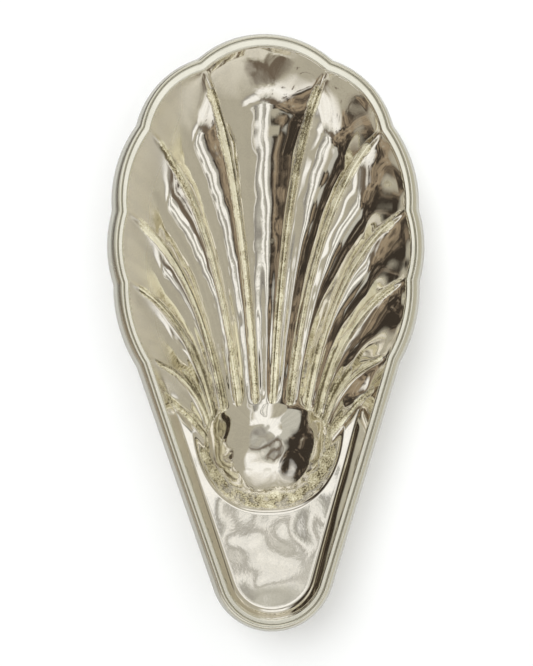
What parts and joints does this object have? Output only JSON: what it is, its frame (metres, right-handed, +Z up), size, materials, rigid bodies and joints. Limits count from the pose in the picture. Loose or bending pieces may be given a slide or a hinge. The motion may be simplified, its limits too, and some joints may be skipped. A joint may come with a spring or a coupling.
{
  "type": "shell-shaped bowl",
  "caption": "Scallop-shell serving dish in bright silver plate, with fluted bowl, smooth well, flat thumb tongue, rounded border and ball feet.",
  "frame": {"origin": "on the table, under the middle of the dish's length and width", "axes": "+Z up out of the bowl, +Y from the tongue to the middle lobe of the fan, +X to the right with the fan at the top"},
  "size_m": [0.1014, 0.19, 0.0362],
  "materials": {
    "bowl_plate": "polished silver plate, warm with light tarnish in the flutes",
    "border_plate": "polished silver plate, softly worn",
    "foot_plate": "polished silver plate"
  },
  "bodies": {
    "root": {"shell_bowl": "bowl_plate", "rim_border": "border_plate", "ball_foot_rear": "foot_plate", "ball_foot_left": "foot_plate", "ball_foot_right": "foot_plate"}
  },
  "joints": []
}
